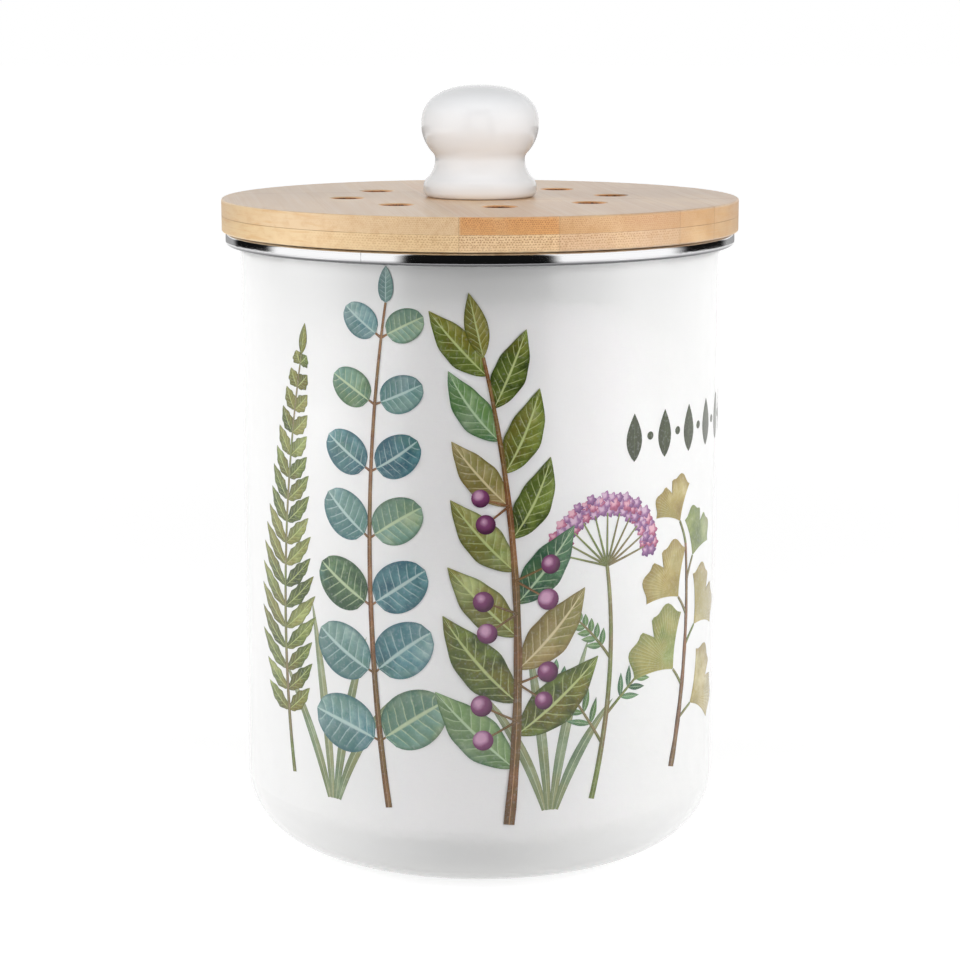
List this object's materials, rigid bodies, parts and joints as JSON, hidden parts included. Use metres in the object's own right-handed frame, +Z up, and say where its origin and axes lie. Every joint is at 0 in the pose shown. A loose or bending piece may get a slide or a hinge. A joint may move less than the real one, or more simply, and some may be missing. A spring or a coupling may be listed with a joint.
{
  "type": "compost canister",
  "caption": "Round enamelled steel compost canister with a steel-banded rim, a vented bamboo lift-off lid with a ceramic knob, a charcoal filter and a lift-out scrap bucket.",
  "frame": {"origin": "on the table under the middle of the canister's base", "axes": "+Z up along the canister's axis, -Y towards the printed front, +X to the right seen from the front"},
  "size_m": [0.1684, 0.1684, 0.2485],
  "materials": {
    "enamel": "glossy white enamel on steel, with a botanical print",
    "polished_steel": "polished",
    "bamboo": "satin lacquered bamboo, with fine dark fibres",
    "silicone": "translucent white, matt",
    "white_glaze": "glossy white glaze",
    "insert_brass": "turned",
    "screw_steel": "zinc plated",
    "filter_plastic": "moulded, fine matt",
    "charcoal_felt": "needled felt with charcoal",
    "bucket_plastic": "moulded, satin"
  },
  "bodies": {
    "canister": {"canister": "enamel", "rim_band": "polished_steel"},
    "bucket": {"scrap_bucket": "bucket_plastic"},
    "lid": {"lid_top_ply": "bamboo", "lid_bottom_ply": "bamboo", "lid_plug_ring": "bamboo", "lid_seal": "silicone", "knob": "white_glaze", "knob_insert": "insert_brass", "knob_washer": "screw_steel", "knob_screw": "screw_steel", "filter_holder": "filter_plastic", "filter_holder_screws": "screw_steel"},
    "filter_cover": {"filter_cover": "filter_plastic", "charcoal_filter": "charcoal_felt"}
  },
  "joints": [
    {"name": "bucket_lift", "type": "slide", "parent": "canister", "child": "bucket", "axis": [0, 0, 1], "range_m": [0, 0.21]},
    {"name": "lid_lift", "type": "slide", "parent": "bucket", "child": "lid", "axis": [0, 0, 1], "range_m": [0, 0.15]},
    {"name": "filter_cover_twist", "type": "hinge", "parent": "lid", "child": "filter_cover", "pos_m": [0, 0, 0.19], "axis": [0, 0, 1], "range_deg": [0, 45]}
  ]
}
